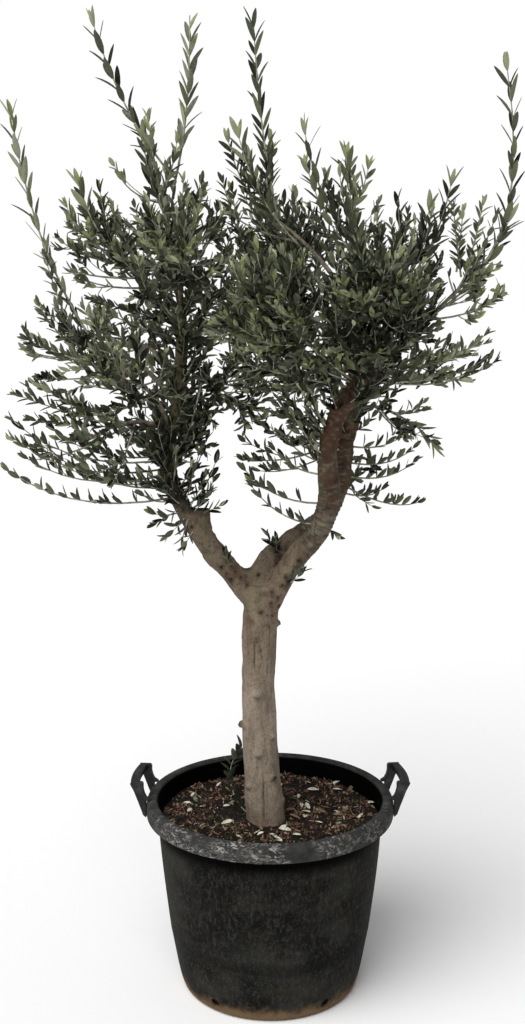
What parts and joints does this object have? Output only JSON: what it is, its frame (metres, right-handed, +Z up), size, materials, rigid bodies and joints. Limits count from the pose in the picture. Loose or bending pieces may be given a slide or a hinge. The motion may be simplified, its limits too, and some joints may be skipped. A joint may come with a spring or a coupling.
{
  "type": "potted olive tree",
  "caption": "Young olive tree with a forked trunk and an open crown of slender leaves, growing in a round black nursery tub with side handles.",
  "frame": {"origin": "centre of the tub's flat underside", "axes": "+Z up, -Y the front of the plant, +X to the right as seen from the front"},
  "size_m": [1.1291, 0.9143, 2.1098],
  "materials": {
    "tub": "scuffed matt black, moulded",
    "compost": "rough, loose and moist",
    "bark": "smooth grey-brown bark",
    "foliage": "leathery, dark above and silvery below"
  },
  "bodies": {
    "root": {"tub": "tub", "handle_left": "tub", "handle_right": "tub", "compost": "compost", "trunk": "bark", "bough_left": "bark", "leader_left": "bark", "bough_right": "bark", "leader_right": "bark", "bough_back": "bark", "leader_back": "bark", "limb_centre_crown": "bark", "limb_centre_front": "bark", "limb_centre_low": "bark", "limb_centre_rear": "bark", "limb_droop_right": "bark", "limb_inner_low": "bark", "limb_inner_rear": "bark", "limb_leader_front": "bark", "limb_leader_rear": "bark", "limb_left_flank": "bark", "limb_left_front": "bark", "limb_left_inner": "bark", "limb_left_low": "bark", "limb_left_rear": "bark", "limb_left_shoulder": "bark", "limb_left_skirt": "bark", "limb_low_right": "bark", "limb_right_flank": "bark", "limb_right_front": "bark", "limb_right_low": "bark", "limb_right_rear": "bark", "foliage_base_shoot": "foliage", "foliage_centre_crown": "foliage", "foliage_centre_front": "foliage", "foliage_centre_low": "foliage", "foliage_centre_rear": "foliage", "foliage_droop_right": "foliage", "foliage_inner_low": "foliage", "foliage_inner_rear": "foliage", "foliage_leader_crown": "foliage", "foliage_leader_front": "foliage", "foliage_leader_rear": "foliage", "foliage_left_flank": "foliage", "foliage_left_front": "foliage", "foliage_left_inner": "foliage", "foliage_left_low": "foliage", "foliage_left_rear": "foliage", "foliage_left_shoulder": "foliage", "foliage_left_skirt": "foliage", "foliage_low_right": "foliage", "foliage_right_crown": "foliage", "foliage_right_flank": "foliage", "foliage_right_front": "foliage", "foliage_right_low": "foliage", "foliage_right_rear": "foliage", "foliage_right_shoulder": "foliage"}
  },
  "joints": []
}
